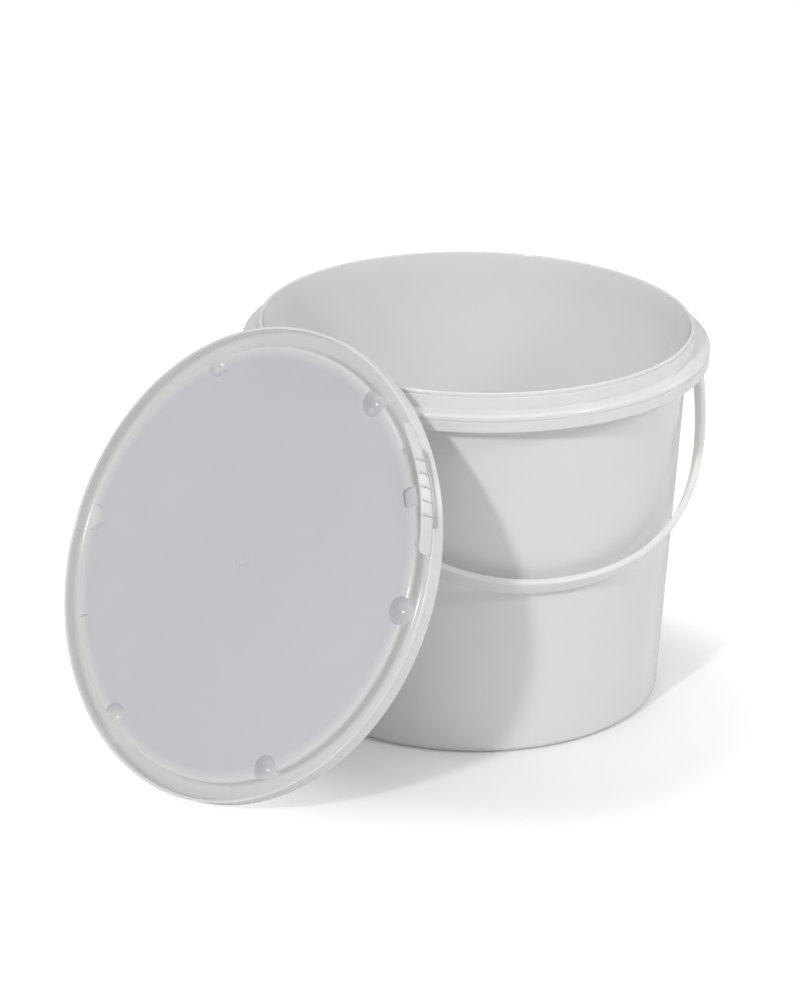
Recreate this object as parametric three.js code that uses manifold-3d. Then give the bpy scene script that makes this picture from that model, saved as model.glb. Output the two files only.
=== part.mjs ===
// Plastic bucket with a plastic strap handle, and its press-on lid leaning against the rim.
// Millimetres, +Z up. The origin is the centre of the bucket's flat base, and the front is -Y.
import * as THREE from 'three';
import { mergeVertices } from 'three/addons/utils/BufferGeometryUtils.js';
import Module from 'manifold-3d';

const wasm = await Module();
wasm.setup();

// Bucket
const bucketHeight = 232.5;
const bucketWall = 1.6;
const baseThickness = 2.2;
const baseRadius = 116.4;
const baseCornerRadius = 5;
const wallRadiusAtSkirt = 127.0;
const lipInnerRadius = 128.3;
const lipThickness = 1.9;
const neckDraft = 1.4;
const ringRadius = 140;
const ringTopDrop = 10.2;
const ringHeight = 10.4;
const ringThickness = 1.8;
const ringCornerRadius = 1.6;
const ringGrooveDepth = 0.7;
const ringGrooveDrop = 3.0;
const ringGrooveWidth = 1.2;

// Handle and its two ears
const earStandOff = 2.6;
const earRadius = 6.2;
const pivotBelowRingTop = 12.3;
const handleYaw = THREE.MathUtils.degToRad(24.9);
const handleRestGap = 0.5;
const strapThickness = 4;
const strapWidth = 12;
const strapEdgeRound = 1.3;
const handleDepth = 161.7;
const handleShoulder = 94.8;
const handleTaper = 20.5;
const handleSpread = 87;
const eyeRadius = 6.4;
const studRadius = 2.9;
const studHeadRadius = 4.1;
const studHeadThickness = 2;
const studClearance = 0.4;
const sideClearance = 0.7;

// Lid
const lidRadius = 139.4;
const lidSkirtHeight = 10;
const lidWall = 1.6;
const lidFlangeThickness = 1.8;
const lidPlugClearance = 0.4;
const lidPlugDepth = 10;
const lidEdgeRound = 1;
const plugRound = 2.5;
const channelRound = 2;
const pocketCount = 6;
const pocketRadius = 8.2;
const pocketInset = 3.4;
const notchCount = 2;
const notchWidth = 11;
const notchReach = 8;
const notchDepth = 4.5;
const tabAngle = THREE.MathUtils.degToRad(34);
const tabReach = 9;
const tabThickness = 1.3;
const tabHalfSpan = THREE.MathUtils.degToRad(16);
const tabFingerSpan = THREE.MathUtils.degToRad(7);
const tabSlit = 0.9;
const leanTurn = THREE.MathUtils.degToRad(44.35);
const leanTilt = THREE.MathUtils.degToRad(27.14);
const leanOffset = -2.4;
const contactGap = 0.8;

// Fineness
const roundSegments = 72;
const smallSegments = 16;
const cornerSteps = 2;
const strapSteps = 54;
const weldDistance = 1e-4;
const slitOverrun = 0.01;
const bisections = 40;

// Solids and meshes
function solidOf(geometry) {
  const bare = geometry.clone();
  bare.deleteAttribute('normal');
  bare.deleteAttribute('uv');
  const merged = mergeVertices(bare, weldDistance);
  return new wasm.Manifold(new wasm.Mesh({
    numProp: 3,
    vertProperties: new Float32Array(merged.attributes.position.array),
    triVerts: new Uint32Array(merged.index.array),
  }));
}

function geometryOf(solid) {
  const mesh = solid.getMesh();
  const geometry = new THREE.BufferGeometry();
  geometry.setAttribute('position', new THREE.BufferAttribute(mesh.vertProperties, 3));
  geometry.setIndex(new THREE.BufferAttribute(mesh.triVerts, 1));
  geometry.computeVertexNormals();
  return geometry;
}

function plastic(color, roughness) {
  return new THREE.MeshStandardMaterial({ color, roughness, metalness: 0 });
}

// A closed section in radius and height, turned about Z. The section runs anticlockwise.
function turned(points) {
  const closed = [...points, points[0]];
  const profile = closed.map(([radius, height]) => new THREE.Vector2(Math.max(radius, 0), height));
  return new THREE.LatheGeometry(profile, roundSegments).rotateX(Math.PI / 2);
}

// A quarter-like arc from one direction to another, both in degrees, about a centre
function arc(radius, height, size, from, to) {
  const points = [];
  for (let i = 0; i <= cornerSteps; i += 1) {
    const angle = THREE.MathUtils.degToRad(from + ((to - from) * i) / cornerSteps);
    points.push([radius + size * Math.cos(angle), height + size * Math.sin(angle)]);
  }
  return points;
}

// A cylinder along X, from one x to another
function rodAlongX(radius, from, to) {
  return new THREE.CylinderGeometry(radius, radius, to - from, smallSegments)
    .rotateZ(Math.PI / 2)
    .translate((from + to) / 2, 0, 0);
}

// A block that follows the lid's edge, between two radii, two angles and two heights
function edgeBlock(inner, outer, from, to, low, high) {
  const shape = new THREE.Shape();
  shape.absarc(0, 0, outer, from, to, false);
  shape.absarc(0, 0, inner, to, from, true);
  const block = new THREE.ExtrudeGeometry(shape, {
    depth: high - low,
    bevelEnabled: false,
    curveSegments: smallSegments / 2,
  });
  return block.translate(0, 0, low);
}

// Sizes that follow from the ones above
const ringTop = bucketHeight - ringTopDrop;
const ringBottom = ringTop - ringHeight;
const wallSlope = (wallRadiusAtSkirt - baseRadius) / ringBottom;
const pivotHeight = ringTop - pivotBelowRingTop;
const earFace = ringRadius + earStandOff;
const armInner = earFace + sideClearance;
const strapHalfWidth = armInner + strapThickness / 2;

function wallRadius(height) {
  return baseRadius + wallSlope * height;
}

// How far from straight down the handle hangs when the middle of its strap rests on the wall
function restAngle() {
  const inner = handleDepth - strapThickness / 2;
  let low = 0;
  let high = Math.PI / 2;
  for (let i = 0; i < bisections; i += 1) {
    const angle = (low + high) / 2;
    const out = inner * Math.sin(angle) - (strapWidth / 2) * Math.cos(angle);
    const height = pivotHeight - inner * Math.cos(angle) - (strapWidth / 2) * Math.sin(angle);
    if (out < wallRadius(height) + handleRestGap) low = angle;
    else high = angle;
  }
  return low;
}

// Bucket
function bucketSection() {
  const lipOuter = lipInnerRadius + lipThickness;
  const neckFoot = lipOuter + neckDraft;
  const innerCorner = baseCornerRadius - bucketWall;
  const grooveTop = ringTop - ringGrooveDrop;
  const grooveBottom = grooveTop - ringGrooveWidth;
  return [
    [0, 0],
    ...arc(wallRadius(baseCornerRadius) - baseCornerRadius, baseCornerRadius, baseCornerRadius, -90, 0),
    [wallRadius(ringBottom), ringBottom],
    [wallRadius(ringTop - ringThickness), ringTop - ringThickness],
    [ringRadius - ringThickness, ringTop - ringThickness],
    [ringRadius - ringThickness, ringBottom],
    [ringRadius - ringGrooveDepth / 2, ringBottom],
    [ringRadius, ringBottom + ringGrooveDepth],
    [ringRadius, grooveBottom],
    [ringRadius - ringGrooveDepth, (grooveTop + grooveBottom) / 2],
    [ringRadius, grooveTop],
    ...arc(ringRadius - ringCornerRadius, ringTop - ringCornerRadius, ringCornerRadius, 0, 90),
    [neckFoot, ringTop],
    [lipOuter, bucketHeight - lipThickness],
    ...arc(lipOuter - lipThickness / 2, bucketHeight - lipThickness / 2, lipThickness / 2, 0, 180),
    [wallRadius(ringBottom) - bucketWall, ringBottom],
    ...arc(wallRadius(baseCornerRadius) - bucketWall - innerCorner, baseThickness + innerCorner,
      innerCorner, 0, -90),
    [0, baseThickness],
  ];
}

function makeBucket() {
  const ringInner = ringRadius - ringThickness;
  let solid = solidOf(turned(bucketSection()));
  for (const side of [-1, 1]) {
    const ear = rodAlongX(earRadius, ringInner + ringThickness / 2, earFace);
    const hole = rodAlongX(studRadius + studClearance, ringInner - ringThickness, earFace + ringThickness);
    if (side < 0) for (const piece of [ear, hole]) piece.rotateZ(Math.PI);
    for (const piece of [ear, hole]) piece.rotateZ(handleYaw).translate(0, 0, pivotHeight);
    solid = solid.add(solidOf(ear)).subtract(solidOf(hole));
  }
  const mesh = new THREE.Mesh(geometryOf(solid), plastic(0xe9e9ea, 0.35));
  mesh.name = 'bucket';
  return mesh;
}

// Handle: made flat in its own plane, hanging along -Y from the pivot line on X
function strapSection() {
  const shape = new THREE.Shape();
  const x = strapWidth / 2;
  const y = strapThickness / 2;
  const r = strapEdgeRound;
  shape.moveTo(-x + r, -y);
  shape.lineTo(x - r, -y);
  shape.lineTo(x, -y + r);
  shape.lineTo(x, y - r);
  shape.lineTo(x - r, y);
  shape.lineTo(-x + r, y);
  shape.lineTo(-x, y - r);
  shape.lineTo(-x, -y + r);
  shape.closePath();
  return shape;
}

function strapPath() {
  const straight = earRadius + sideClearance;
  const half = (side) => [
    new THREE.Vector3(side * strapHalfWidth, 0, 0),
    new THREE.Vector3(side * strapHalfWidth, -straight, 0),
    new THREE.Vector3(side * (strapHalfWidth - handleTaper), -handleShoulder, 0),
    new THREE.Vector3(side * handleSpread, -handleDepth, 0),
    new THREE.Vector3(0, -handleDepth, 0),
  ];
  const [pin, elbow, shoulder, spread, middle] = half(-1);
  const [pin2, elbow2, shoulder2, spread2] = half(1);
  const path = new THREE.CurvePath();
  path.add(new THREE.LineCurve3(pin, elbow));
  path.add(new THREE.CubicBezierCurve3(elbow, shoulder, spread, middle));
  path.add(new THREE.CubicBezierCurve3(middle, spread2, shoulder2, elbow2));
  path.add(new THREE.LineCurve3(elbow2, pin2));
  return path;
}

function makeHandle() {
  let solid = solidOf(new THREE.ExtrudeGeometry(strapSection(), {
    steps: strapSteps,
    bevelEnabled: false,
    extrudePath: strapPath(),
  }));
  const headOuter = ringRadius - ringThickness - sideClearance;
  for (const side of [-1, 1]) {
    const parts = [
      [eyeRadius, armInner, armInner + strapThickness],
      [studRadius, headOuter - studHeadThickness / 2, armInner + strapThickness / 2],
      [studHeadRadius, headOuter - studHeadThickness, headOuter],
    ];
    for (const [radius, near, far] of parts) {
      const rod = rodAlongX(radius, near, far);
      solid = solid.add(solidOf(side < 0 ? rod.rotateZ(Math.PI) : rod));
    }
  }
  const mesh = new THREE.Mesh(geometryOf(solid), plastic(0xe4e4e4, 0.35));
  mesh.name = 'handle';
  mesh.rotation.x = Math.PI / 2 - restAngle();
  return mesh;
}

// Lid: made with its axis on Z and its underside up. Height 0 is the free edge of its skirt.
function lidSection() {
  const back = -lidSkirtHeight;
  const plug = lipInnerRadius - lidPlugClearance;
  const floor = back + lidFlangeThickness;
  const skirtInner = lidRadius - lidWall;
  const recess = plug - lidWall;
  const panel = lidPlugDepth - lidSkirtHeight;
  return [
    [0, panel - lidWall],
    [recess - plugRound, panel - lidWall],
    [recess, panel - lidWall - plugRound / 2],
    [recess, back + lidEdgeRound],
    [recess + lidEdgeRound, back],
    ...arc(lidRadius - lidEdgeRound, back + lidEdgeRound, lidEdgeRound, -90, 0),
    [lidRadius, 0],
    [skirtInner, 0],
    ...arc(skirtInner - channelRound, floor + channelRound, channelRound, 0, -90),
    ...arc(plug + channelRound, floor + channelRound, channelRound, -90, -180),
    ...arc(plug - plugRound, panel - plugRound, plugRound, 0, 90),
    [0, panel],
  ];
}

function ball(radius, x, z) {
  return new THREE.SphereGeometry(radius, smallSegments, smallSegments / 2).translate(x, 0, z);
}

function makeLid() {
  const back = -lidSkirtHeight;
  const plug = lipInnerRadius - lidPlugClearance;
  const panel = lidPlugDepth - lidSkirtHeight;
  const skirtInner = lidRadius - lidWall;
  let solid = solidOf(turned(lidSection()));

  // Round stacking pockets in the panel's edge, each with a wall of its own behind it
  const pocketSpot = plug - pocketInset;
  const behind = solidOf(new THREE.CylinderGeometry(plug, plug, lidSkirtHeight, roundSegments)
    .rotateX(Math.PI / 2)
    .translate(0, 0, panel - lidWall / 2 - lidSkirtHeight / 2));
  for (let i = 0; i < pocketCount; i += 1) {
    const angle = tabAngle + ((i + 0.5) * 2 * Math.PI) / pocketCount;
    const shell = ball(pocketRadius + lidWall, pocketSpot, panel).rotateZ(angle);
    const hollow = ball(pocketRadius, pocketSpot, panel).rotateZ(angle);
    solid = solid.add(solidOf(shell).intersect(behind)).subtract(solidOf(hollow));
  }

  // Square notches in the panel's edge, opposite each other
  for (let i = 0; i < notchCount; i += 1) {
    const angle = tabAngle + (i * 2 * Math.PI) / notchCount;
    const shell = new THREE.BoxGeometry(notchReach + lidWall, notchWidth + 2 * lidWall, notchDepth + lidWall)
      .translate(plug - (notchReach + lidWall) / 2, 0, panel - (notchDepth + lidWall) / 2)
      .rotateZ(angle);
    const hollow = new THREE.BoxGeometry(notchReach * 2, notchWidth, notchDepth * 2)
      .translate(plug, 0, panel)
      .rotateZ(angle);
    solid = solid.add(solidOf(shell).intersect(behind)).subtract(solidOf(hollow));
  }

  // Tear tab: a strip below the skirt with a free finger end
  const tabInner = skirtInner + (lidWall - tabThickness) / 2;
  const tabOuter = tabInner + tabThickness;
  const tabEnd = tabAngle + tabHalfSpan;
  const strip = edgeBlock(tabInner, tabOuter, tabAngle - tabHalfSpan, tabEnd, back / 2, tabReach);
  const slit = edgeBlock(tabInner - lidWall, tabOuter + lidWall, tabEnd - tabFingerSpan, tabEnd + slitOverrun,
    0, tabSlit);
  solid = solid.add(solidOf(strip)).subtract(solidOf(slit));

  const mesh = new THREE.Mesh(geometryOf(solid), plastic(0xd9d8dc, 0.4));
  mesh.name = 'lid';
  return mesh;
}

// The lid leans with its foot on the floor and the back of its panel against the ring's top corner
function placeLid(mesh) {
  const facing = new THREE.Vector3(
    -Math.sin(leanTurn) * Math.cos(leanTilt),
    -Math.cos(leanTurn) * Math.cos(leanTilt),
    Math.sin(leanTilt),
  );
  const across = new THREE.Vector3(Math.cos(leanTurn), -Math.sin(leanTurn), 0);
  const upSlope = new THREE.Vector3().crossVectors(facing, across);
  const flat = new THREE.Vector3(facing.x, facing.y, 0).normalize();
  const panelBack = lidPlugDepth - lidSkirtHeight - lidWall;

  // The ring's corner is an arc: its furthest point along the lid's direction
  const cornerCentre = flat.clone().multiplyScalar(ringRadius - ringCornerRadius)
    .add(new THREE.Vector3(0, 0, ringTop - ringCornerRadius));
  const planeAt = cornerCentre.dot(facing) + ringCornerRadius + contactGap - panelBack;

  // The lowest point of the back rim rests at floor height
  const footDrop = lidRadius * Math.cos(leanTilt) + lidSkirtHeight * Math.sin(leanTilt)
    - lidEdgeRound * (Math.cos(leanTilt) + Math.sin(leanTilt) - 1);
  const centreHeight = footDrop;
  const reach = (planeAt - centreHeight * facing.z) / flat.dot(facing);
  const centre = flat.clone().multiplyScalar(reach);
  centre.z = centreHeight;
  centre.addScaledVector(across, leanOffset);

  mesh.applyMatrix4(new THREE.Matrix4().makeBasis(across, upSlope, facing).setPosition(centre));
  return mesh;
}

const handleMount = new THREE.Group();
handleMount.position.z = pivotHeight;
handleMount.rotation.z = handleYaw;
handleMount.add(makeHandle());

const group = new THREE.Group();
group.add(makeBucket(), handleMount, placeLid(makeLid()));

export default group;
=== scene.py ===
# %% [markdown]
# # A plastic bucket with its lid
# Three moulded pieces: a round tapered bucket with a stepped rim, a strap handle that swings in
# two ears beside that rim, and a press-on lid that leans against it with its underside showing.
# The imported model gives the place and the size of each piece, and the script builds its looks
# around that.

import math

import bmesh
import bpy
import numpy as np
from mathutils import Matrix, Vector


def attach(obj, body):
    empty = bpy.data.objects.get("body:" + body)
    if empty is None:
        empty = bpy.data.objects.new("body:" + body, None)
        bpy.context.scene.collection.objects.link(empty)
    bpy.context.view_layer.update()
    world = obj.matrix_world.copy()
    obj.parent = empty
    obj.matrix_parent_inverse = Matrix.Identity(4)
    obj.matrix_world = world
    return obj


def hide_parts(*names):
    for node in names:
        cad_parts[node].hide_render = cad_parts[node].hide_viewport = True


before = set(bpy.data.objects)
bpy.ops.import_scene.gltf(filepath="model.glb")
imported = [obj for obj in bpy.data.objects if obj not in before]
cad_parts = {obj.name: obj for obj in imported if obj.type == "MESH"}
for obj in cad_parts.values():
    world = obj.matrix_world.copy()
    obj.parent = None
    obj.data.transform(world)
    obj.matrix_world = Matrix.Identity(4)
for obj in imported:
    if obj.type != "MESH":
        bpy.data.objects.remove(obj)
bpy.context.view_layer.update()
MM = 0.001

# %% [markdown]
# ## Sizes
# The rim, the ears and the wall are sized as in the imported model, because the pieces move and
# rest on each other there. Lengths are in millimetres, and the tab's angle is in degrees from
# the lid's own across direction.

# %% Shared sizes
BUCKET_HEIGHT, BUCKET_WALL, BASE_THICKNESS = 232.5, 1.6, 2.2
BASE_RADIUS, BASE_CORNER, SKIRT_WALL_RADIUS = 116.4, 5.0, 127.0
LIP_INNER, LIP_THICKNESS, NECK_DRAFT = 128.3, 1.9, 1.4
RING_RADIUS, RING_TOP, RING_BOTTOM, RING_THICKNESS = 140.0, 222.3, 211.9, 1.8
PIVOT_HEIGHT, EAR_STAND_OFF, EAR_RADIUS = 210.0, 2.6, 6.2
HANDLE_YAW, SIDE_CLEARANCE = math.radians(24.9), 0.7
STRAP_THICKNESS, STRAP_WIDTH, HANDLE_DEPTH = 4.0, 12.0, 161.7
HANDLE_SHOULDER, HANDLE_TAPER, HANDLE_SPREAD = 94.8, 20.5, 87.0
STUD_RADIUS, STUD_CLEARANCE, STUD_HEAD_RADIUS, STUD_HEAD = 2.9, 0.4, 4.1, 2.0
LID_RADIUS, LID_SKIRT, LID_WALL, PLUG_RADIUS = 139.4, 10.0, 1.6, 127.9
TAB_ANGLE = 34

# %% [markdown]
# ## White polypropylene
# Moulded polypropylene is milky: a little light goes in and comes back out, so its shade is soft.
# The shine is uneven at the scale of a hand, where the wall cooled faster or slower, and very
# fine ripples break up the reflections. One node group makes that, and each piece gets its own
# tint, shine and ripple.

# %% Plastic
CLOUD_SCALE, RIPPLE_SCALE, GRAIN_SCALE = 9.0, 55.0, 900.0
RIPPLE_DEPTH, GRAIN_DEPTH, GRAIN_STRENGTH = 0.002, 0.0002, 0.04
PLASTIC_IOR, GLOW_DEPTH, GLOW_TINT = 1.49, 0.004, (1.0, 0.95, 0.9)
# Where the painted shade on the lid's panel fades out, inside and outside its radius.
PANEL_SHADE_EDGE = (-0.007, 0.001)


def node(tree, kind, inputs=(), **settings):
    made = tree.nodes.new(kind)
    for key, value in settings.items():
        setattr(made, key, value)
    for key, value in dict(inputs).items():
        made.inputs[key].default_value = value
    return made


def ranged(tree, factor, low, high):
    """A value from low to high as the factor goes from 0.1 to 0.9."""
    spread = node(tree, "ShaderNodeMapRange", {1: 0.1, 2: 0.9, 3: low, 4: high})
    tree.links.new(factor, spread.inputs[0])
    return spread.outputs[0]


def blend(tree, factor, first, second):
    """The mixed colour of two, each of which is a socket or a plain colour."""
    mixed = node(tree, "ShaderNodeMix", data_type="RGBA")
    tree.links.new(factor, mixed.inputs["Factor"])
    for key, value in (("A", first), ("B", second)):
        if isinstance(value, tuple):
            mixed.inputs[key].default_value = (*value, 1)
        else:
            tree.links.new(value, mixed.inputs[key])
    return mixed.outputs["Result"]


def plastic(name, tint, shade, shine, ripple, milk=0.5, painted_panel_shade=None):
    """Milky plastic. shade is the tint where the wall is a little thicker, and shine two roughnesses.

    milk is the share of light that goes in and comes back out. The last argument paints shade on
    a round panel as a darker tint: its centre, its axis, its radius and that tint.
    """
    material = bpy.data.materials.new(name)
    material.use_nodes = True
    tree = material.node_tree
    link = tree.links.new
    surface = tree.nodes["Principled BSDF"]
    place = node(tree, "ShaderNodeTexCoord")
    cloud = node(tree, "ShaderNodeTexNoise", {"Scale": CLOUD_SCALE, "Detail": 3.0})
    ripples = node(tree, "ShaderNodeTexNoise", {"Scale": RIPPLE_SCALE, "Detail": 2.0})
    grain = node(tree, "ShaderNodeTexNoise", {"Scale": GRAIN_SCALE, "Detail": 2.0})
    for texture in (cloud, ripples, grain):
        link(place.outputs["Object"], texture.inputs["Vector"])
    patches = ranged(tree, cloud.outputs["Fac"], 0.0, 1.0)
    colour = blend(tree, patches, tint, shade)
    # Painted shade: a darker, bluer tint over the round panel that fades out at its edge.
    if painted_panel_shade:
        centre, axis, radius, painted_shade_tint = painted_panel_shade
        offset = node(tree, "ShaderNodeVectorMath", {1: centre}, operation="SUBTRACT")
        across = node(tree, "ShaderNodeVectorMath", {1: axis}, operation="CROSS_PRODUCT")
        reach = node(tree, "ShaderNodeVectorMath", operation="LENGTH")
        full, none = (radius + step for step in PANEL_SHADE_EDGE)
        edge = node(tree, "ShaderNodeMapRange", {1: full, 2: none, 3: 1.0, 4: 0.0})
        link(place.outputs["Object"], offset.inputs[0])
        link(offset.outputs[0], across.inputs[0])
        link(across.outputs[0], reach.inputs[0])
        link(reach.outputs["Value"], edge.inputs[0])
        colour = blend(tree, edge.outputs[0], colour, painted_shade_tint)
    link(colour, surface.inputs["Base Color"])
    link(ranged(tree, cloud.outputs["Fac"], *shine), surface.inputs["Roughness"])
    soft = node(tree, "ShaderNodeBump", {"Strength": ripple, "Distance": RIPPLE_DEPTH})
    fine = node(tree, "ShaderNodeBump", {"Strength": GRAIN_STRENGTH, "Distance": GRAIN_DEPTH})
    link(ripples.outputs["Fac"], soft.inputs["Height"])
    link(grain.outputs["Fac"], fine.inputs["Height"])
    link(soft.outputs["Normal"], fine.inputs["Normal"])
    link(fine.outputs["Normal"], surface.inputs["Normal"])
    surface.inputs["IOR"].default_value = PLASTIC_IOR
    surface.inputs["Subsurface Weight"].default_value = milk
    surface.inputs["Subsurface Radius"].default_value = GLOW_TINT
    surface.inputs["Subsurface Scale"].default_value = GLOW_DEPTH
    return material


bucket_plastic = plastic(
    "bucket_plastic", (0.82, 0.817, 0.812), (0.80, 0.797, 0.794), (0.08, 0.12), 0.02)
handle_plastic = plastic(
    "handle_plastic", (0.84, 0.837, 0.825), (0.82, 0.817, 0.808), (0.18, 0.26), 0.03, milk=0.8)
print("materials", [m.name for m in (bucket_plastic, handle_plastic)])

# %% [markdown]
# ## Helpers for node trees and meshes
# A Geometry Nodes tree works on a small input mesh, such as a section or a path. Its result is
# copied into a plain mesh, so nothing live is left on a piece.

# %% Helpers
SMOOTH_ANGLE, SHARP_ANGLE, FLAT_WEIGHT = 32, 40, 90
SLIVER, PINHOLE_SIDES = 0.004 * MM, 8


def new_tree(name, inputs):
    """A tree with a geometry input, the named inputs and a geometry output."""
    tree = bpy.data.node_groups.new(name, "GeometryNodeTree")
    tree.interface.new_socket("Geometry", in_out="INPUT", socket_type="NodeSocketGeometry")
    for label, kind in inputs.items():
        tree.interface.new_socket(label, in_out="INPUT", socket_type="NodeSocket" + kind)
    tree.interface.new_socket("Geometry", in_out="OUTPUT", socket_type="NodeSocketGeometry")
    return tree, node(tree, "NodeGroupInput"), node(tree, "NodeGroupOutput")


def close_tree(tree, given, result, out):
    """The last nodes: plain geometry with its material."""
    real = node(tree, "GeometryNodeRealizeInstances")
    paint = node(tree, "GeometryNodeSetMaterial")
    tree.links.new(result, real.inputs[0])
    tree.links.new(real.outputs[0], paint.inputs["Geometry"])
    tree.links.new(given.outputs["Material"], paint.inputs["Material"])
    tree.links.new(paint.outputs[0], out.inputs[0])


def evaluated(thing):
    """A plain mesh of an object with its modifiers, and the object is removed."""
    graph = bpy.context.evaluated_depsgraph_get()
    mesh = bpy.data.meshes.new_from_object(thing.evaluated_get(graph))
    thing.modifiers.clear()
    bpy.data.objects.remove(thing)
    return mesh


def line_of(points):
    """A mesh of points joined in a row."""
    mesh = bpy.data.meshes.new("line")
    mesh.from_pydata([tuple(p) for p in points], [(i, i + 1) for i in range(len(points) - 1)], [])
    return mesh


def run_tree(tree, mesh, **values):
    """Runs a tree on a mesh, with the named inputs set, and gives the new mesh."""
    holder = put(tree.name, mesh)
    modifier = holder.modifiers.new(tree.name, "NODES")
    modifier.node_group = tree
    for item in tree.interface.items_tree:
        if item.in_out == "INPUT" and item.name in values:
            modifier[item.identifier] = values[item.name]
    return evaluated(holder)


def put(name, mesh):
    thing = bpy.data.objects.new(name, mesh)
    bpy.context.scene.collection.objects.link(thing)
    return thing


def cut(base, tools, operation="DIFFERENCE"):
    """The base mesh with each tool mesh cut out of it or added to it."""
    holder = put("base", base)
    things = [put("tool", tool) for tool in tools]
    for thing in things:
        modifier = holder.modifiers.new("cut", "BOOLEAN")
        modifier.operation, modifier.solver, modifier.object = operation, "EXACT", thing
    mesh = evaluated(holder)
    for thing in things:
        bpy.data.objects.remove(thing)
    return mesh


def softened(mesh, width, angle=SHARP_ANGLE, segments=2):
    """The mesh with its sharp edges rounded."""
    holder = put("base", mesh)
    modifier = holder.modifiers.new("soft", "BEVEL")
    modifier.width, modifier.segments = width * MM, segments
    modifier.limit_method, modifier.angle_limit = "ANGLE", math.radians(angle)
    modifier.use_clamp_overlap = True
    return evaluated(holder)


def joined(meshes):
    """One mesh of several closed ones."""
    whole = bmesh.new()
    for mesh in meshes:
        whole.from_mesh(mesh)
    made = bpy.data.meshes.new("joined")
    whole.to_mesh(made)
    whole.free()
    return made


def placed(mesh, matrix):
    mesh.transform(matrix)
    return mesh


def arc(radius, height, size, start, end, steps=5):
    """Points of a fillet in a section, from one angle to another in degrees."""
    angles = np.radians(np.linspace(start, end, steps + 1))
    return [(radius + size * math.cos(a), height + size * math.sin(a)) for a in angles]


def shaded(mesh):
    """Smooth shading up to an angle, in which large flat faces stay flat."""
    mesh.shade_smooth()
    mesh.set_sharp_from_angle(angle=math.radians(SMOOTH_ANGLE))
    holder = put("base", mesh)
    modifier = holder.modifiers.new("weights", "WEIGHTED_NORMAL")
    modifier.keep_sharp, modifier.weight = True, FLAT_WEIGHT
    return evaluated(holder)


def cleaned(mesh):
    """The mesh without the slivers and the pinholes that cuts and bevels leave."""
    mesh.validate()
    work = bmesh.new()
    work.from_mesh(mesh)
    bmesh.ops.remove_doubles(work, verts=work.verts, dist=SLIVER)
    bmesh.ops.dissolve_degenerate(work, edges=work.edges, dist=SLIVER)
    bmesh.ops.holes_fill(work, edges=[e for e in work.edges if e.is_boundary], sides=PINHOLE_SIDES)
    bmesh.ops.delete(work, geom=[e for e in work.edges if e.is_wire], context="EDGES")
    work.to_mesh(mesh)
    work.free()
    mesh.validate()
    return mesh


def finished(name, mesh, body, cad_node, material):
    """The piece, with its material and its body."""
    cleaned(mesh)
    mesh.materials.clear()
    mesh.materials.append(material)
    mesh.polygons.foreach_set("material_index", [0] * len(mesh.polygons))
    mesh.update()
    piece = put(name, shaded(mesh))
    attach(piece, body)
    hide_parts(cad_node)
    print(name, len(mesh.polygons), "faces")
    return piece


# %% [markdown]
# ## A tree that turns a section
# The bucket, the lid and the handle's two hubs are round: each is one section carried round a
# circle, which is how their moulds are turned. The section's line comes in as radius and height.

# %% Turned tree
RAIL = 100 * MM
ROUND, SMALL_ROUND = 240, 48


def make_turned_tree():
    tree, given, out = new_tree("turned", {"Segments": "Int", "Material": "Material"})
    rail = node(tree, "GeometryNodeCurvePrimitiveCircle", {"Radius": RAIL})
    profile = node(tree, "GeometryNodeMeshToCurve")
    sweep = node(tree, "GeometryNodeCurveToMesh")
    weld = node(tree, "GeometryNodeMergeByDistance", {"Distance": 0.001 * MM})
    tree.links.new(given.outputs["Segments"], rail.inputs["Resolution"])
    tree.links.new(given.outputs["Geometry"], profile.inputs["Mesh"])
    tree.links.new(rail.outputs["Curve"], sweep.inputs["Curve"])
    tree.links.new(profile.outputs["Curve"], sweep.inputs["Profile Curve"])
    tree.links.new(sweep.outputs["Mesh"], weld.inputs["Geometry"])
    close_tree(tree, given, weld.outputs["Geometry"], out)
    return tree


turned_tree = make_turned_tree()


def outward(mesh):
    """The mesh with its faces turned outwards, told by the sign of its volume."""
    mesh.calc_loop_triangles()
    corners = np.array([[mesh.vertices[v].co for v in t.vertices] for t in mesh.loop_triangles])
    volume = np.einsum("ij,ij->i", corners[:, 0], np.cross(corners[:, 1], corners[:, 2])).sum() / 6
    if volume < 0:
        mesh.flip_normals()
    return mesh


def turned(section, segments, material):
    """A closed body of revolution about Z from (radius, height) points in millimetres."""
    points = [(r * MM - RAIL, -h * MM, 0) for r, h in section]
    return outward(run_tree(turned_tree, line_of(points), Segments=segments, Material=material))


# %% [markdown]
# ## The bucket
# The wall leans out by about three degrees so that the bucket comes off its core. The top is
# stiffened by a neck and by a ring that stands out and turns down, with a fine groove where the
# lid snaps on. The inside is smooth up to the lip. Under the base, the middle is lifted a little
# so that the bucket stands on a ring.

# %% Bucket
def wall_radius(height):
    return BASE_RADIUS + (SKIRT_WALL_RADIUS - BASE_RADIUS) / RING_BOTTOM * height


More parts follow.
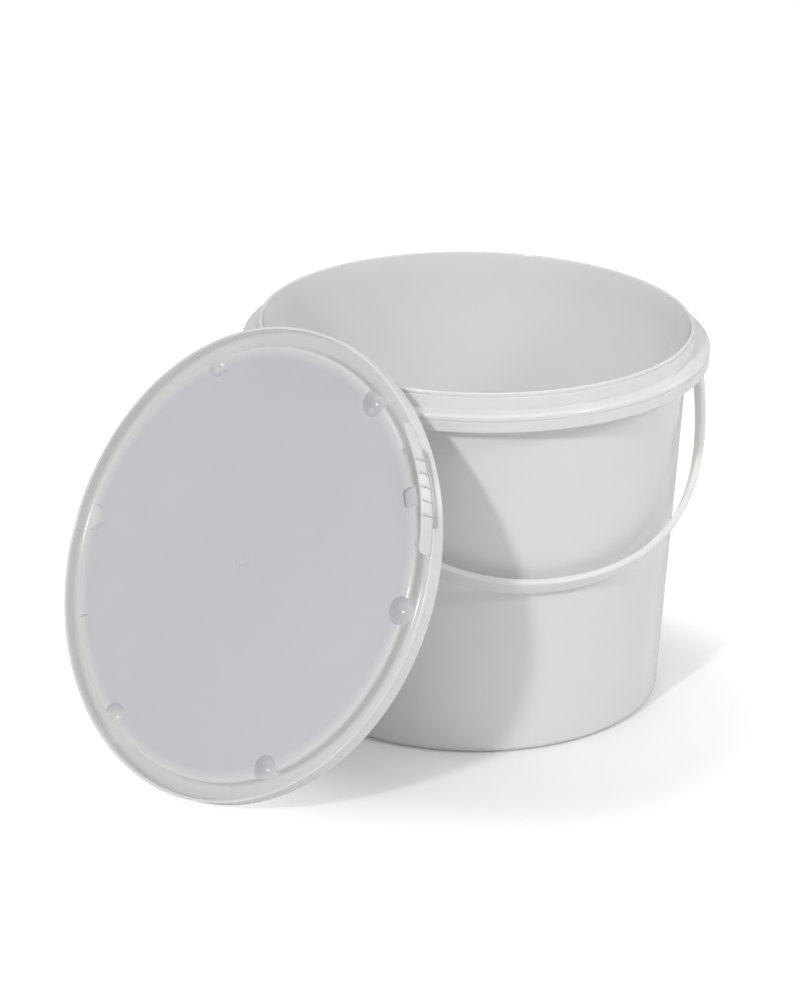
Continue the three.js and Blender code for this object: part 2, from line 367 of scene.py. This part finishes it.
def bucket_section():
    lip_outer = LIP_INNER + LIP_THICKNESS
    neck = lip_outer + NECK_DRAFT
    inner = BASE_CORNER - BUCKET_WALL
    half = LIP_THICKNESS / 2
    under = RING_TOP - RING_THICKNESS
    edge = RING_RADIUS - RING_THICKNESS
    lift, foot, groove, crook, shoulder = 0.8, 105, 218.65, 1.5, 2.2
    return [
        (0, lift), (foot - 1, lift), *arc(foot, lift / 2, lift / 2, 90, 0, 3), (foot + lift, 0),
        *arc(wall_radius(BASE_CORNER) - BASE_CORNER, BASE_CORNER, BASE_CORNER, -90, 0, 8),
        (wall_radius(60), 60), (wall_radius(120), 120), (wall_radius(170), 170),
        (wall_radius(under - crook), under - crook),
        *arc(wall_radius(under) + crook, under - crook, crook, 180, 90, 4),
        (edge - 0.8, under), (edge, under - 0.8),
        *arc(RING_RADIUS - 0.9, RING_BOTTOM + 0.9, 0.9, 180, 360, 6),
        (RING_RADIUS, groove - 0.65), (RING_RADIUS - 0.15, groove - 0.35),
        (RING_RADIUS - 0.55, groove),
        (RING_RADIUS - 0.15, groove + 0.35), (RING_RADIUS, groove + 0.65),
        *arc(RING_RADIUS - shoulder, RING_TOP - shoulder, shoulder, 0, 90, 6),
        (neck + 1.6, RING_TOP), *arc(neck + 0.9, RING_TOP + 0.9, 0.9, -90, -174, 4),
        (lip_outer + 0.25, BUCKET_HEIGHT - 3.2), (lip_outer - 0.35, BUCKET_HEIGHT - 2.6),
        (lip_outer - 0.3, BUCKET_HEIGHT - 2.2), (lip_outer, BUCKET_HEIGHT - 1.7),
        *arc(lip_outer - half, BUCKET_HEIGHT - half, half, 0, 180, 8),
        (wall_radius(RING_BOTTOM) - BUCKET_WALL, RING_BOTTOM),
        (wall_radius(120) - BUCKET_WALL, 120), (wall_radius(60) - BUCKET_WALL, 60),
        *arc(wall_radius(BASE_CORNER) - BUCKET_WALL - inner, BASE_THICKNESS + inner, inner,
             0, -90, 6),
        (60, BASE_THICKNESS), (0, BASE_THICKNESS),
    ]


def along_x(mesh, side):
    """Turns a body about Z into one along the pivot line, towards one side."""
    tip = Matrix.Rotation(math.pi / 2, 4, "Y")
    swing = Matrix.Rotation(HANDLE_YAW + (math.pi if side < 0 else 0), 4, "Z")
    return placed(mesh, Matrix.Translation((0, 0, PIVOT_HEIGHT * MM)) @ swing @ tip)


def rod(radius, near, far, rounding=0.0):
    """The section of a rod along its own axis, with its far end rounded where that is asked for."""
    end = [(radius, far)]
    if rounding:
        end = arc(radius - rounding, far - rounding, rounding, 0, 90, 3)
    return [(0, near), (radius, near), *end, (0, far)]


def make_bucket():
    """The shell with its two ears, and a bore through each of them."""
    inner = RING_RADIUS - RING_THICKNESS
    face = RING_RADIUS + EAR_STAND_OFF
    ear = rod(EAR_RADIUS, inner + 0.9, face, 0.7)
    bore = rod(STUD_RADIUS + STUD_CLEARANCE, inner - 2, face + 2)
    shell = turned(bucket_section(), ROUND, bucket_plastic)
    ears = [along_x(turned(ear, SMALL_ROUND, bucket_plastic), side) for side in (1, -1)]
    holes = [along_x(turned(bore, SMALL_ROUND, bucket_plastic), side) for side in (1, -1)]
    return cut(cut(shell, ears, "UNION"), holes)


finished("bucket_shell", make_bucket(), "bucket_body", "bucket", bucket_plastic)

# %% [markdown]
# ## The handle
# The strap is a flat band with rounded edges that follows one smooth path, so a tree sweeps its
# section along that path. Each end widens into an eye with a stud through the ear, and the head
# behind the ring keeps it in. Everything is made flat, hanging along -Y, and then swung round
# until the middle of the strap rests on the wall.

# %% Handle
def make_strap_tree():
    tree, given, out = new_tree("strap", {
        "Width": "Float", "Thickness": "Float", "Edge": "Float", "Steps": "Int", "Material": "Material"})
    path = node(tree, "GeometryNodeMeshToCurve")
    even = node(tree, "GeometryNodeResampleCurve")
    turn = node(tree, "GeometryNodeSetCurveNormal", mode="Z_UP")
    band = node(tree, "GeometryNodeCurvePrimitiveQuadrilateral")
    corners = node(tree, "GeometryNodeFilletCurve", {"Count": 3}, mode="POLY")
    sweep = node(tree, "GeometryNodeCurveToMesh", {"Fill Caps": True})
    link = tree.links.new
    link(given.outputs["Geometry"], path.inputs["Mesh"])
    link(path.outputs["Curve"], even.inputs["Curve"])
    link(given.outputs["Steps"], even.inputs["Count"])
    link(even.outputs["Curve"], turn.inputs["Curve"])
    link(given.outputs["Thickness"], band.inputs["Width"])
    link(given.outputs["Width"], band.inputs["Height"])
    link(band.outputs["Curve"], corners.inputs["Curve"])
    link(given.outputs["Edge"], corners.inputs["Radius"])
    link(turn.outputs["Curve"], sweep.inputs["Curve"])
    link(corners.outputs["Curve"], sweep.inputs["Profile Curve"])
    close_tree(tree, given, sweep.outputs["Mesh"], out)
    return tree


strap_tree = make_strap_tree()
ARM_INNER = RING_RADIUS + EAR_STAND_OFF + SIDE_CLEARANCE
ARM = ARM_INNER + STRAP_THICKNESS / 2


def bezier(a, b, c, d, steps):
    t = np.linspace(0, 1, steps)[:, None]
    a, b, c, d = (np.array(p, float) for p in (a, b, c, d))
    return (1 - t) ** 3 * a + 3 * (1 - t) ** 2 * t * b + 3 * (1 - t) * t ** 2 * c + t ** 3 * d


def strap_path():
    """The middle line of the strap in its own plane, from one pivot to the other."""
    elbow, steps = EAR_RADIUS + SIDE_CLEARANCE, 80
    right = np.vstack([[(ARM, 0)], bezier(
        (ARM, -elbow), (ARM - HANDLE_TAPER, -HANDLE_SHOULDER),
        (HANDLE_SPREAD, -HANDLE_DEPTH), (0, -HANDLE_DEPTH), steps)])
    left = right[:-1][::-1] * (-1, 1)
    return [(x * MM, y * MM, 0) for x, y in np.vstack([right, left])]


def rest_angle():
    """How far from straight down the strap hangs when its middle rests on the wall."""
    inner, half, gap = HANDLE_DEPTH - STRAP_THICKNESS / 2, STRAP_WIDTH / 2, 0.5
    angles = np.radians(np.arange(20, 80, 0.01))
    out = inner * np.sin(angles) - half * np.cos(angles)
    height = PIVOT_HEIGHT - inner * np.cos(angles) - half * np.sin(angles)
    return float(angles[np.argmax(out >= wall_radius(height) + gap)])


def hub_section():
    """An eye with its stud and the stud's head, from the middle of the bucket outwards."""
    head = RING_RADIUS - RING_THICKNESS - SIDE_CLEARANCE
    face = ARM_INNER + STRAP_THICKNESS
    eye, corner, edge, crown = 6.4, 0.4, 1.0, 0.6
    return [
        (0, head - STUD_HEAD),
        *arc(STUD_HEAD_RADIUS - crown, head - STUD_HEAD + crown, crown, -90, 0, 3),
        (STUD_HEAD_RADIUS, head), (STUD_RADIUS, head), (STUD_RADIUS, ARM_INNER),
        (eye - corner, ARM_INNER), (eye, ARM_INNER + corner),
        *arc(eye - edge, face - edge, edge, 0, 90, 4), (0, face),
    ]


def make_handle():
    """The strap with its two hubs, turned to where it rests."""
    strap = outward(run_tree(strap_tree, line_of(strap_path()), Width=STRAP_WIDTH * MM,
                             Thickness=STRAP_THICKNESS * MM, Edge=1.5 * MM, Steps=220,
                             Material=handle_plastic))
    hubs = []
    for side in (1, -1):
        tip = Matrix.Rotation(math.pi / 2 * side, 4, "Y")
        hubs.append(placed(turned(hub_section(), 64, handle_plastic), tip))
    mesh = cut(strap, hubs, "UNION")
    hang = Matrix.Rotation(math.pi / 2 - rest_angle(), 4, "X")
    turn = Matrix.Rotation(HANDLE_YAW, 4, "Z")
    return placed(mesh, Matrix.Translation((0, 0, PIVOT_HEIGHT * MM)) @ turn @ hang)


finished("handle_strap", make_handle(), "handle_body", "handle", handle_plastic)

# %% [markdown]
# ## Where the lid leans
# The lid stands on its edge on the floor, and the back of its panel rests on the corner of the
# ring. Its place follows from the turn and the tilt. Its panel carries painted shade, a darker
# and bluer tint than its edge, where it faces away from the light at the right.

# %% Lid place
LEAN_TURN, LEAN_TILT = math.radians(44.35), math.radians(27.14)
LEAN_OFFSET, CONTACT_GAP, RING_CORNER = -2.4, 0.8, 1.6


def lid_place():
    """Where the lid leans: X across, Y up its slope and Z out of its underside."""
    flat = Vector((-math.sin(LEAN_TURN), -math.cos(LEAN_TURN), 0))
    facing = flat * math.cos(LEAN_TILT) + Vector((0, 0, math.sin(LEAN_TILT)))
    across = Vector((math.cos(LEAN_TURN), -math.sin(LEAN_TURN), 0))
    slope = facing.cross(across)
    corner = flat * (RING_RADIUS - RING_CORNER) + Vector((0, 0, RING_TOP - RING_CORNER))
    plane = corner.dot(facing) + RING_CORNER + CONTACT_GAP + LID_WALL
    height = LID_RADIUS * math.cos(LEAN_TILT) + LID_SKIRT * math.sin(LEAN_TILT) \
        - (math.cos(LEAN_TILT) + math.sin(LEAN_TILT) - 1)
    centre = flat * ((plane - height * facing.z) / flat.dot(facing)) + across * LEAN_OFFSET
    centre.z = height
    axes = Matrix((across, slope, facing)).transposed().to_4x4()
    return Matrix.Translation(centre * MM) @ axes


LID_PLACE = lid_place()
# Painted shade on the lid's panel: its centre, its axis, its radius and the darker, bluer tint.
lid_panel_shade = (LID_PLACE.translation, LID_PLACE.col[2].to_3d(), (PLUG_RADIUS - 0.5) * MM,
         (0.65, 0.642, 0.686))
lid_plastic = plastic(
    "lid_plastic", (0.80, 0.797, 0.792), (0.78, 0.777, 0.772), (0.13, 0.19), 0.02, painted_panel_shade=lid_panel_shade)
print("lid stands at", [round(v, 4) for v in LID_PLACE.translation])

# %% [markdown]
# ## The lid
# Seen from below, the lid is a shallow plug that fits inside the bucket's lip, a channel for
# that lip, and a skirt that snaps over the ring. Six round pockets and two square notches
# in the plug's edge let stacked lids locate. A tear tab hangs from the skirt. The underside is
# the side with height 0 at the skirt's free edge.

# %% Lid body
EDGE_ROUNDING = 0.7


def lid_section():
    back = -LID_SKIRT
    floor = back + 1.8
    inside = LID_RADIUS - LID_WALL
    recess = PLUG_RADIUS - LID_WALL
    fillet = 2.2
    return [
        (0, -LID_WALL), (110, -LID_WALL), (recess - 2.5, -LID_WALL),
        *arc(recess - 1.6, -LID_WALL - 1.6, 1.6, 90, 0, 4),
        (recess, back + 1), *arc(recess + 1, back + 1, 1, 180, 270, 3),
        *arc(LID_RADIUS - 1, back + 1, 1, -90, 0, 4),
        (LID_RADIUS, -3.2), (LID_RADIUS - 0.35, -2.9), (LID_RADIUS, -2.6),
        *arc(LID_RADIUS - 0.5, -0.5, 0.5, 0, 90, 3), *arc(inside + 0.5, -0.5, 0.5, 90, 180, 3),
        *arc(inside - fillet, floor + fillet, fillet, 0, -90, 6),
        *arc(PLUG_RADIUS + fillet, floor + fillet, fillet, -90, -180, 6),
        *arc(PLUG_RADIUS - fillet, -fillet, fillet, 0, 90, 7),
        (PLUG_RADIUS - 13, 0), (PLUG_RADIUS - 15, 0),
        (6, 0), (5.7, -0.2), (1.7, -0.2), (1.3, 0.2), (0, 0.2),
    ]


def make_ring_tree():
    """Copies of the piece that comes in, along an arc about Z, each turned to face outwards."""
    tree, given, out = new_tree("ring_of", {
        "Count": "Int", "First": "Float", "Last": "Float", "Radius": "Float", "Material": "Material"})
    link = tree.links.new

    def maths(operation, a, b):
        made = node(tree, "ShaderNodeMath", operation=operation)
        for socket, value in zip(made.inputs, (a, b)):
            if isinstance(value, (int, float)):
                socket.default_value = value
            else:
                link(value, socket)
        return made.outputs[0]

    row = node(tree, "GeometryNodeMeshLine")
    link(given.outputs["Count"], row.inputs["Count"])
    index = node(tree, "GeometryNodeInputIndex").outputs[0]
    gaps = maths("MAXIMUM", maths("SUBTRACT", given.outputs["Count"], 1), 1)
    step = maths("DIVIDE", maths("SUBTRACT", given.outputs["Last"], given.outputs["First"]), gaps)
    angle = maths("ADD", given.outputs["First"], maths("MULTIPLY", index, step))
    spot, turn = node(tree, "ShaderNodeCombineXYZ"), node(tree, "ShaderNodeCombineXYZ")
    link(maths("MULTIPLY", maths("COSINE", angle, 0), given.outputs["Radius"]), spot.inputs["X"])
    link(maths("MULTIPLY", maths("SINE", angle, 0), given.outputs["Radius"]), spot.inputs["Y"])
    link(angle, turn.inputs["Z"])
    move = node(tree, "GeometryNodeSetPosition")
    link(row.outputs["Mesh"], move.inputs["Geometry"])
    link(spot.outputs[0], move.inputs["Position"])
    copies = node(tree, "GeometryNodeInstanceOnPoints")
    link(move.outputs["Geometry"], copies.inputs["Points"])
    link(given.outputs["Geometry"], copies.inputs["Instance"])
    link(turn.outputs[0], copies.inputs["Rotation"])
    close_tree(tree, given, copies.outputs["Instances"], out)
    return tree


ring_tree = make_ring_tree()


def ring_of(mesh, count, first, last, radius):
    """Copies of a mesh round the lid, with the angles in degrees and the radius in millimetres."""
    return run_tree(ring_tree, mesh, Count=count, First=math.radians(first), Last=math.radians(last),
                    Radius=radius * MM, Material=lid_plastic)


def ball(radius):
    angles = np.radians(np.linspace(-90, 90, SMALL_ROUND // 2 + 1))
    section = [(radius * math.cos(a), radius * math.sin(a)) for a in angles]
    section[0], section[-1] = (0, -radius), (0, radius)
    return turned(section, SMALL_ROUND, lid_plastic)


def block(length, width, depth, corner):
    """A box with rounded upright corners, centred."""
    x, y = length / 2 - corner, width / 2 - corner
    outline = []
    for cx, cy, start in ((x, y, 0), (-x, y, 90), (-x, -y, 180), (x, -y, 270)):
        outline += arc(cx, cy, corner, start, start + 90, 3)
    count = len(outline)
    mesh = bpy.data.meshes.new("block")
    points = [(px * MM, py * MM, z * MM) for z in (-depth / 2, depth / 2) for px, py in outline]
    sides = [(i, (i + 1) % count, (i + 1) % count + count, i + count) for i in range(count)]
    mesh.from_pydata(points, [], [list(range(count))[::-1], list(range(count, 2 * count)), *sides])
    return outward(mesh)


def make_lid_body():
    """The lid's shell with its pockets and notches, each with a wall behind it, and its scoops."""
    shell = turned(lid_section(), ROUND, lid_plastic)
    behind = turned(rod(PLUG_RADIUS, -LID_SKIRT - 0.8, -0.8), ROUND, lid_plastic)
    pocket, notch, notch_wall = 8.2, (16, 11, 4.4, 2.4), (19, 14.2, 7.6, 3.6)
    pressed = [(ball(pocket), ball(pocket + LID_WALL), 6, 30, 330, PLUG_RADIUS - 3.4),
               (block(*notch), block(*notch_wall), 2, 0, 180, PLUG_RADIUS)]
    hollows, backs = [], []
    for inner, outer, count, first, last, radius in pressed:
        around = (count, TAB_ANGLE + first, TAB_ANGLE + last, radius)
        hollows.append(ring_of(inner, *around))
        backs.append(cut(ring_of(outer, *around), [behind.copy()], "INTERSECT"))
    scoop, aside = 3.8, 12.5
    hollows.append(ring_of(ball(scoop), 2, TAB_ANGLE - aside, TAB_ANGLE + aside, PLUG_RADIUS + 2.4))
    return softened(cut(cut(shell, backs, "UNION"), hollows), EDGE_ROUNDING)


lid_body = make_lid_body()
print("lid body", len(lid_body.polygons), "faces")

# %% [markdown]
# The tear tab is a thin strip moulded on the skirt. Its middle runs down into the skirt, and both
# ends are free, with a slit above the skirt's edge. The cross ribs give a thumb some grip.

# %% Tear tab
TAB_START, TAB_END, SLIT_BOTTOM, TAB_CORNER = 18, 51, -5, 4.0
RIB_COUNT, RIB_FIRST, RIB_LAST = 5, 27.2, 41


def plate(angles, lows, highs, inner, outer, rows=6):
    """A thin wall that follows a circle, between two heights that change along it."""
    points, faces, count = [], [], len(angles)
    for radius in (inner, outer):
        for angle, low, high in zip(angles, lows, highs):
            for j in range(rows):
                height = low + (high - low) * j / (rows - 1)
                x, y = radius * math.cos(angle), radius * math.sin(angle)
                points.append((x * MM, y * MM, height * MM))

    def at(layer, i, j):
        return (layer * count + i) * rows + j

    for i in range(count - 1):
        for j in range(rows - 1):
            faces.append((at(1, i, j), at(1, i + 1, j), at(1, i + 1, j + 1), at(1, i, j + 1)))
            faces.append((at(0, i, j + 1), at(0, i + 1, j + 1), at(0, i + 1, j), at(0, i, j)))
        for j, flip in ((0, 1), (rows - 1, -1)):
            faces.append((at(0, i, j), at(0, i + 1, j), at(1, i + 1, j), at(1, i, j))[::flip])
    for j in range(rows - 1):
        for i, flip in ((0, -1), (count - 1, 1)):
            faces.append((at(0, i, j), at(0, i, j + 1), at(1, i, j + 1), at(1, i, j))[::flip])
    mesh = bpy.data.meshes.new("plate")
    mesh.from_pydata(points, [], faces)
    return outward(mesh)


def make_tab():
    """The strip, with round corners at its ends and a slit below them, and its ribs."""
    angles = np.linspace(TAB_START, TAB_END, 100)
    ends = np.minimum(angles - TAB_START, TAB_END - angles) * math.radians(1) * LID_RADIUS
    across = TAB_CORNER - np.minimum(ends, TAB_CORNER)
    bow = TAB_CORNER - np.sqrt(np.maximum(TAB_CORNER ** 2 - across ** 2, 0.0))
    highs = np.interp(angles, (TAB_START, 24, 34, TAB_END), (10.2, 9.4, 8.6, 8.4)) - bow
    slit = np.interp(angles, (24.2, 25.2, 43.5, 44.5), (0.9, SLIT_BOTTOM, SLIT_BOTTOM, 0.9))
    lows = np.where(slit > SLIT_BOTTOM, slit + bow * 0.6, slit)
    middle, half = LID_RADIUS - LID_WALL / 2, 0.65
    strip = softened(plate(np.radians(angles), lows, highs, middle - half, middle + half), 0.35, 50)
    rib = placed(block(0.9, 1.3, 9.5, 0.4), Matrix.Translation((0, 0, 3.4 * MM)))
    return strip, ring_of(rib, RIB_COUNT, RIB_FIRST, RIB_LAST, middle + 0.6)


lid_mesh = joined([lid_body, *make_tab()])
print("lid with its tab", len(lid_mesh.polygons), "faces")

finished("lid_shell", placed(lid_mesh, LID_PLACE), "bucket_body", "lid", lid_plastic)

# %% [markdown]
# ## Stage
# White paper under a white sky. The key light comes from the front left, 30 degrees to the side
# and 31 degrees up, which is where the lid's shadow on the bucket points back to. A second soft
# light stands at the right. The paper is shown lighter to the camera than it is to the object,
# as in an overexposed background, and it keeps the object's shadow.

# %% Floor, lights and world
AIM = Vector((0, 0, 0.12))
SHADOW_CENTRE, SHADOW_NEAR, SHADOW_FAR = (0.03, -0.05, 0), 0.12, 0.23
PAPER_SIZE, PAPER_DROP, PAPER_TINT = 20, 0.0003, (0.85, 0.85, 0.85, 1)
SKY_TINT, SKY_STRENGTH, LAMP_TINT = (1, 0.985, 0.965, 1), 0.365, (0.98, 0.99, 1)


def away(azimuth, elevation, distance):
    """A place seen from the object: the azimuth counts from the front to the right."""
    a, e = math.radians(azimuth), math.radians(elevation)
    return Vector((math.sin(a) * math.cos(e), -math.cos(a) * math.cos(e), math.sin(e))) * distance


def lamp(name, kind, place, power, colour, **settings):
    data = bpy.data.lights.new(name, kind)
    data.energy, data.color = power, colour
    for key, value in settings.items():
        setattr(data, key, value)
    made = put(name, data)
    made.location = place
    made.rotation_euler = (AIM - place).to_track_quat("-Z", "Y").to_euler()
    return made


def shown_lighter(tree, surface, near, far):
    """Adds light of its own to a surface where the camera looks straight at it.

    Close to the bucket it adds less, so that the soft shadow round the base stays.
    """
    path = node(tree, "ShaderNodeLightPath")
    place = node(tree, "ShaderNodeTexCoord")
    offset = node(tree, "ShaderNodeVectorMath", {1: SHADOW_CENTRE}, operation="SUBTRACT")
    reach = node(tree, "ShaderNodeVectorMath", operation="LENGTH")
    fade = node(tree, "ShaderNodeMapRange", {1: SHADOW_NEAR, 2: SHADOW_FAR, 3: near, 4: far},
                interpolation_type="SMOOTHSTEP")
    glow = node(tree, "ShaderNodeEmission", {"Color": (1, 1, 1, 1)})
    power = node(tree, "ShaderNodeMath", operation="MULTIPLY")
    both = node(tree, "ShaderNodeAddShader")
    tree.links.new(place.outputs["Object"], offset.inputs[0])
    tree.links.new(offset.outputs[0], reach.inputs[0])
    tree.links.new(reach.outputs["Value"], fade.inputs[0])
    tree.links.new(fade.outputs[0], power.inputs[1])
    tree.links.new(path.outputs["Is Camera Ray"], power.inputs[0])
    tree.links.new(power.outputs[0], glow.inputs["Strength"])
    tree.links.new(surface, both.inputs[0])
    tree.links.new(glow.outputs[0], both.inputs[1])
    return both.outputs[0]


floor_mesh = bpy.data.meshes.new("floor")
corners = [(x * PAPER_SIZE, y * PAPER_SIZE, 0) for x, y in ((-1, -1), (1, -1), (1, 1), (-1, 1))]
floor_mesh.from_pydata(corners, [], [(0, 1, 2, 3)])
floor = put("floor", floor_mesh)
floor.location.z = -PAPER_DROP
paper = bpy.data.materials.new("paper")
paper.use_nodes = True
sheet = paper.node_tree.nodes["Principled BSDF"]
sheet.inputs["Base Color"].default_value = PAPER_TINT
sheet.inputs["Roughness"].default_value = 0.7
lighter = shown_lighter(paper.node_tree, sheet.outputs[0], 0.14, 0.55)
paper.node_tree.links.new(lighter, paper.node_tree.nodes["Material Output"].inputs[0])
floor_mesh.materials.append(paper)

world = bpy.data.worlds.new("studio")
bpy.context.scene.world = world
world.use_nodes = True
sky = world.node_tree.nodes["Background"]
sky.inputs["Color"].default_value = SKY_TINT
sky.inputs["Strength"].default_value = SKY_STRENGTH
bright = node(world.node_tree, "ShaderNodeBackground", {"Color": (1, 1, 1, 1)})
path = node(world.node_tree, "ShaderNodeLightPath")
seen = node(world.node_tree, "ShaderNodeMixShader")
for source, target in ((path.outputs["Is Camera Ray"], 0), (sky.outputs[0], 1), (bright.outputs[0], 2)):
    world.node_tree.links.new(source, seen.inputs[target])
world.node_tree.links.new(seen.outputs[0], world.node_tree.nodes["World Output"].inputs[0])
lamp("key", "SUN", away(-30.1, 31.2, 3), 1.15, (0.985, 0.995, 1), angle=math.radians(4))
for name, azimuth, elevation, size, power in (
        ("side", 58, 38, 0.4, 8), ("top", 60, 80, 0.9, 8),
        ("back", 170, 55, 0.8, 4), ("edge", 110, 22, 0.8, 4.5)):
    lamp(name, "AREA", away(azimuth, elevation, 2.2), power, LAMP_TINT, shape="SQUARE", size=size)

# %% [markdown]
# ## Camera
# The photo is taken from about two metres with a long lens, a little above the rim, and it is
# turned by about a degree.

# %% Camera
PHOTO_HEIGHT, FOCAL_PIXELS, SENSOR = 984, 3761, 36
LOOK_DOWN, ROLL, STATION = 21.7, 0.91, (-0.0441, -2.1293, 0.9672)
scene = bpy.context.scene
camera_data = bpy.data.cameras.new("camera")
camera_data.lens, camera_data.sensor_width = FOCAL_PIXELS / PHOTO_HEIGHT * SENSOR, SENSOR
camera = put("camera", camera_data)
look = Matrix.Rotation(math.radians(90 - LOOK_DOWN), 4, "X")
look = look @ Matrix.Rotation(math.radians(ROLL), 4, "Z")
camera.matrix_world = Matrix.Translation(STATION) @ look
scene.camera = camera
scene.view_settings.view_transform = "Standard"
